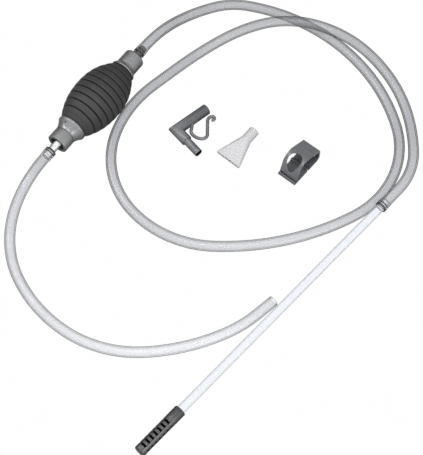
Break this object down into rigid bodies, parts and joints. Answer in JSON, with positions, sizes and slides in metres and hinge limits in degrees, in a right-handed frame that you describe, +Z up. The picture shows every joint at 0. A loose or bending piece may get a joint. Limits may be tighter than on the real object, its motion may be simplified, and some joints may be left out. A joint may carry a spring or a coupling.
{
  "type": "gravel vacuum siphon",
  "caption": "Aquarium gravel siphon: grooved squeeze bulb with check valves, two clear hoses, rigid tube with slotted strainer, and loose hanging elbow, flat nozzle and flow clamp.",
  "frame": {"origin": "centre of the bounding box at table height", "axes": "+Z up from the table, +Y away from the viewer along the longest extent, +X to the viewer's right"},
  "size_m": [0.4809, 0.5992, 0.062],
  "materials": {
    "bulb_rubber": "matt grooved rubber",
    "cap_plastic": "satin moulded plastic",
    "barb_plastic": "satin moulded plastic",
    "valve_plastic": "smooth moulded plastic",
    "disc_rubber": "smooth soft rubber",
    "seal_rubber": "smooth rubber ring",
    "clear_hose": "clear flexible hose",
    "clear_tube": "clear rigid tube",
    "grey_plastic": "satin moulded plastic",
    "frosted_plastic": "frosted moulded plastic"
  },
  "bodies": {
    "pump": {"inlet_cap": "cap_plastic", "inlet_barb": "barb_plastic", "inlet_seal": "seal_rubber", "inlet_valve_seat": "valve_plastic", "inlet_valve_cage": "valve_plastic", "outlet_cap": "cap_plastic", "outlet_barb": "barb_plastic", "outlet_seal": "seal_rubber", "outlet_valve_seat": "valve_plastic", "outlet_valve_cage": "valve_plastic", "suction_hose": "clear_hose", "drain_hose": "clear_hose"},
    "bulb": {"squeeze_bulb": "bulb_rubber"},
    "inlet_disc": {"inlet_valve_disc": "disc_rubber"},
    "outlet_disc": {"outlet_valve_disc": "disc_rubber"},
    "tube": {"rigid_tube": "clear_tube"},
    "strainer": {"strainer_tip": "grey_plastic"},
    "elbow": {"hanger_elbow": "grey_plastic"},
    "nozzle": {"flat_nozzle": "frosted_plastic"},
    "clamp": {"clamp_base": "grey_plastic"},
    "lever": {"clamp_lever": "grey_plastic"}
  },
  "joints": [
    {"name": "bulb_squeeze", "type": "slide", "parent": "pump", "child": "bulb", "axis": [0, 0, -1], "range_m": [0, 0.015], "deforming": ["squeeze_bulb"]},
    {"name": "inlet_valve_lift", "type": "slide", "parent": "pump", "child": "inlet_disc", "axis": [-0.5821, -0.8131, 0], "range_m": [0, 0.002]},
    {"name": "outlet_valve_lift", "type": "slide", "parent": "pump", "child": "outlet_disc", "axis": [-0.5821, -0.8131, 0], "range_m": [0, 0.002]},
    {"name": "tube_pull", "type": "slide", "parent": "pump", "child": "tube", "axis": [-0.6781, -0.7348, -0.014], "range_m": [0, 0.02]},
    {"name": "strainer_pull", "type": "slide", "parent": "tube", "child": "strainer", "axis": [-0.6781, -0.7348, -0.014], "range_m": [0, 0.02]},
    {"name": "elbow_lift", "type": "slide", "parent": "pump", "child": "elbow", "axis": [0, 0, 1], "range_m": [0, 0.1]},
    {"name": "nozzle_lift", "type": "slide", "parent": "pump", "child": "nozzle", "axis": [0, 0, 1], "range_m": [0, 0.1]},
    {"name": "clamp_lift", "type": "slide", "parent": "pump", "child": "clamp", "axis": [0, 0, 1], "range_m": [0, 0.1]},
    {"name": "clamp_flex", "type": "hinge", "parent": "clamp", "child": "lever", "pos_m": [0.1143, 0.07917, 0.0169], "axis": [0.7716, -0.6361, 0], "range_deg": [-12, 1.8]}
  ]
}
